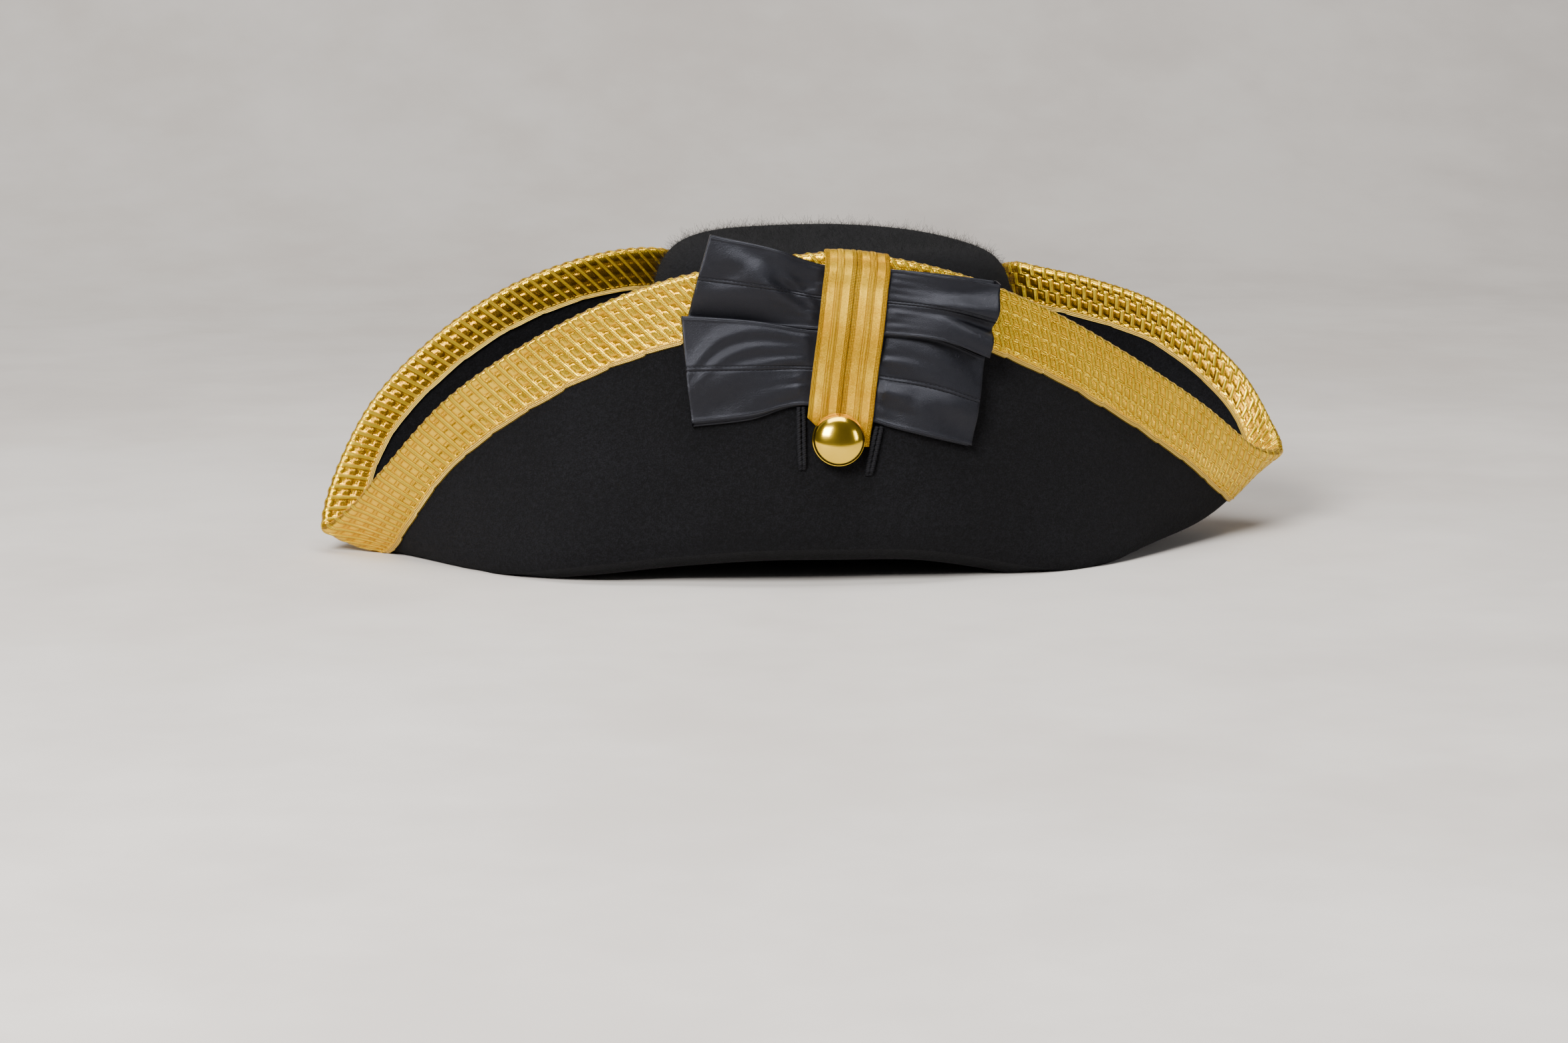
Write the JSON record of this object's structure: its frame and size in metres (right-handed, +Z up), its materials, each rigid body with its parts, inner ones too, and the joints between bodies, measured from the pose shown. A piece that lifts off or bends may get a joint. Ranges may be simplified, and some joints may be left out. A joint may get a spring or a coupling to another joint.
{
  "type": "tricorn hat",
  "caption": "Black felt hat with a round crown and a brim turned up into three flaps, gold braid on the edge, and a satin bow with a strap and a domed button in front.",
  "frame": {"origin": "on the axis of the crown, in the plane that the hat rests on", "axes": "+Z up along the crown axis, -Y to the front flap with the bow, -X and +X to the two side tips, +Y to the rear corner"},
  "size_m": [0.4866, 0.3706, 0.1647],
  "materials": {
    "felt": "black wool felt, slightly hairy on the crown",
    "gold_braid": "woven metallic gold braid",
    "gold_strap": "metallic gold braid with lengthwise threads",
    "satin": "black satin ribbon",
    "brass": "polished",
    "cord": "black twisted cord"
  },
  "bodies": {
    "root": {"felt_body": "felt", "edge_braid": "gold_braid", "upper_ribbon": "satin", "lower_ribbon": "satin", "strap_left": "gold_strap", "strap_right": "gold_strap", "button": "brass", "tie_cord_left": "cord", "tie_cord_right": "cord"}
  },
  "joints": []
}
